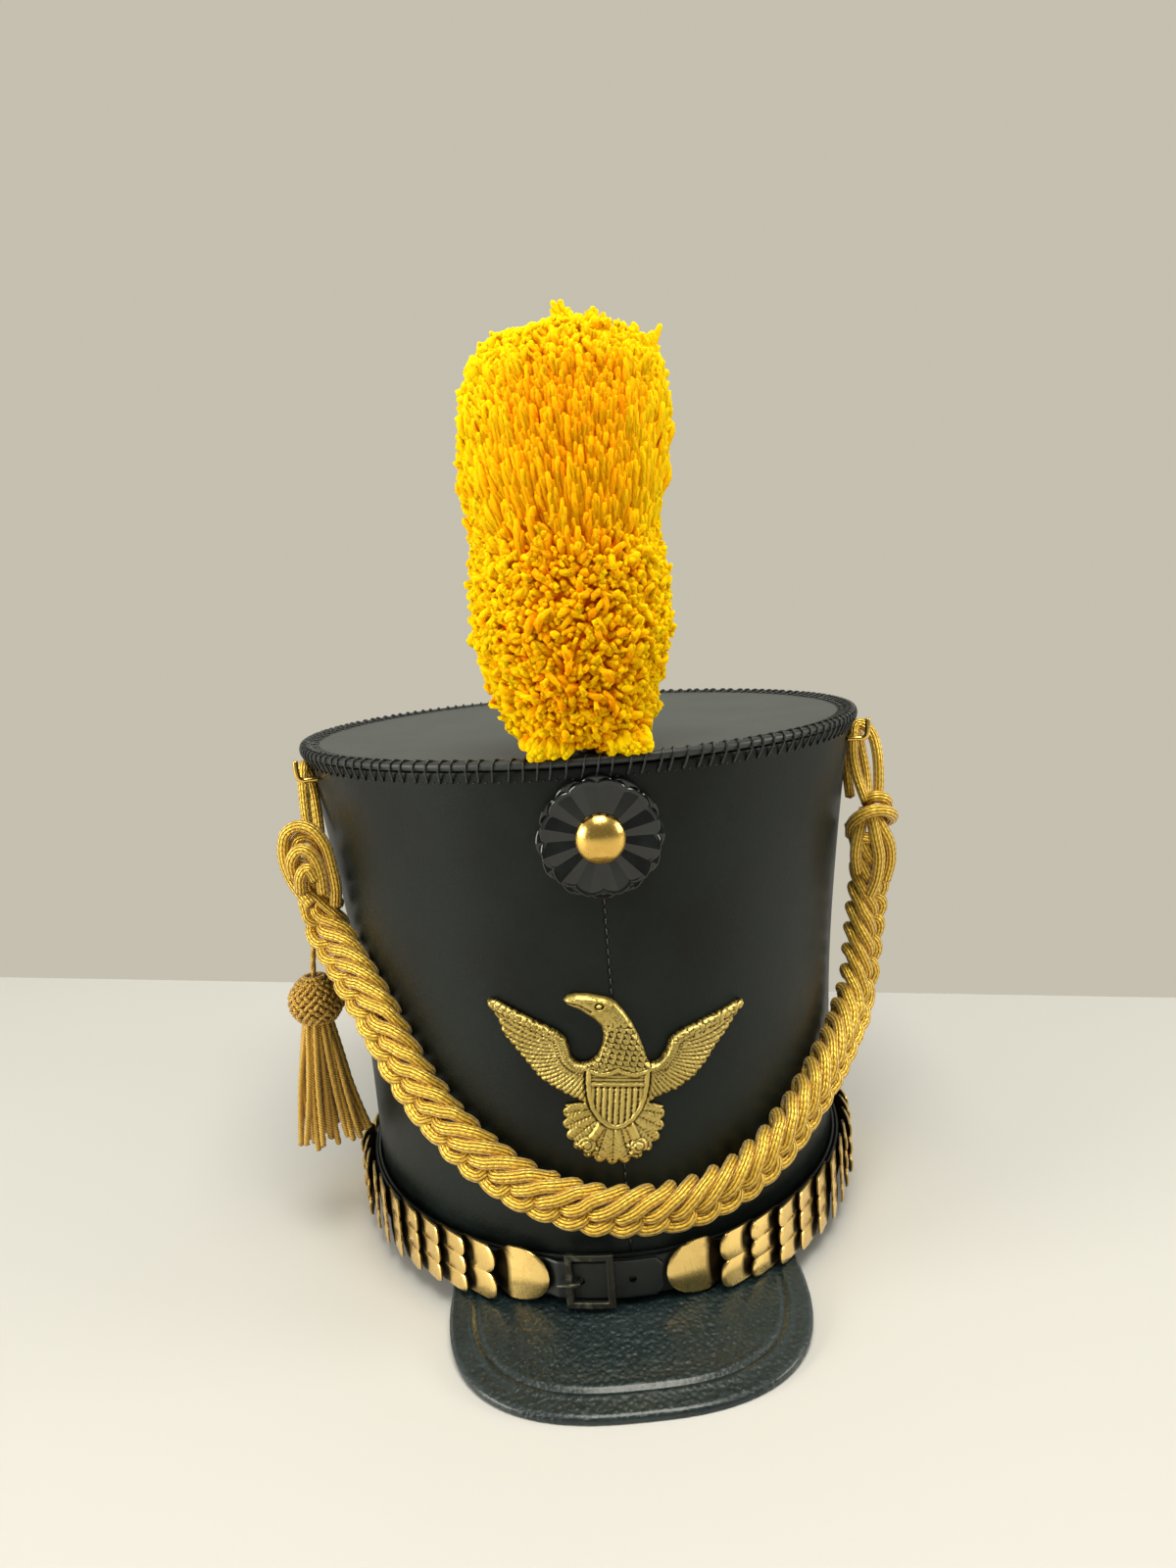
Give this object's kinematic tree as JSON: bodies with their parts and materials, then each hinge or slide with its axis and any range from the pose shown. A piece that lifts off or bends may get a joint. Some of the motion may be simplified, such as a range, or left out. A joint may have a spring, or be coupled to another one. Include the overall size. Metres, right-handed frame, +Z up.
{
  "type": "shako hat",
  "caption": "Tall flared leather shako with a short peak, brass chin scales on a buckled strap, an eagle badge, a round cockade, a wool plume and a gold cord festoon with a tassel.",
  "frame": {"origin": "on the surface the hat rests on, in the middle of the box of the hat without its cords", "axes": "+Z up, -Y to the front (the peak), +X to the wearer's left, which is the right of the hat seen from the front"},
  "size_m": [0.2122, 0.256, 0.3007],
  "materials": {
    "crown_leather": "dark green-black leather, soft sheen, faint mottling",
    "edge_cord": "black waxed cord and stitching, glossy",
    "peak_leather": "blue-black leather with a raised pebble grain, glossy",
    "strap_leather": "plain black strap leather, satin",
    "patent_leather": "black patent leather, mirror gloss",
    "black_iron": "blackened buckle metal, worn at the edges",
    "scale_brass": "pale brushed brass with fine scratches",
    "cast_brass": "muted cast brass, darker in its hollows",
    "bright_brass": "polished bright brass",
    "gold_cord": "gold metallic braided cord, fine diagonal weave",
    "plume_wool": "yellow-orange cut wool yarn"
  },
  "bodies": {
    "root": {"crown_wall": "crown_leather", "top_disc": "crown_leather", "top_welt": "edge_cord", "base_band": "strap_leather", "peak": "peak_leather", "strap_right": "strap_leather", "strap_left": "strap_leather", "buckle_frame": "black_iron", "buckle_prong": "black_iron", "scale_right_01": "scale_brass", "scale_right_02": "scale_brass", "scale_right_03": "scale_brass", "scale_right_04": "scale_brass", "scale_right_05": "scale_brass", "scale_right_06": "scale_brass", "scale_right_07": "scale_brass", "scale_right_08": "scale_brass", "scale_right_09": "scale_brass", "scale_right_10": "scale_brass", "scale_right_11": "scale_brass", "scale_right_12": "scale_brass", "side_boss_right": "cast_brass", "scale_left_01": "scale_brass", "scale_left_02": "scale_brass", "scale_left_03": "scale_brass", "scale_left_04": "scale_brass", "scale_left_05": "scale_brass", "scale_left_06": "scale_brass", "scale_left_07": "scale_brass", "scale_left_08": "scale_brass", "scale_left_09": "scale_brass", "scale_left_10": "scale_brass", "scale_left_11": "scale_brass", "side_boss_left": "cast_brass", "front_rosette": "patent_leather", "front_button": "bright_brass", "eagle_plate": "cast_brass", "plume": "plume_wool", "plume_stem": "strap_leather", "cord_hook_left": "bright_brass", "knot_left": "gold_cord", "hanging_loop_left": "gold_cord", "cord_hook_right": "bright_brass", "knot_right": "gold_cord", "hanging_loop_right": "gold_cord", "festoon_braid": "gold_cord", "tassel_cord": "gold_cord", "tassel_head": "gold_cord", "tassel_skirt": "gold_cord"}
  },
  "joints": []
}
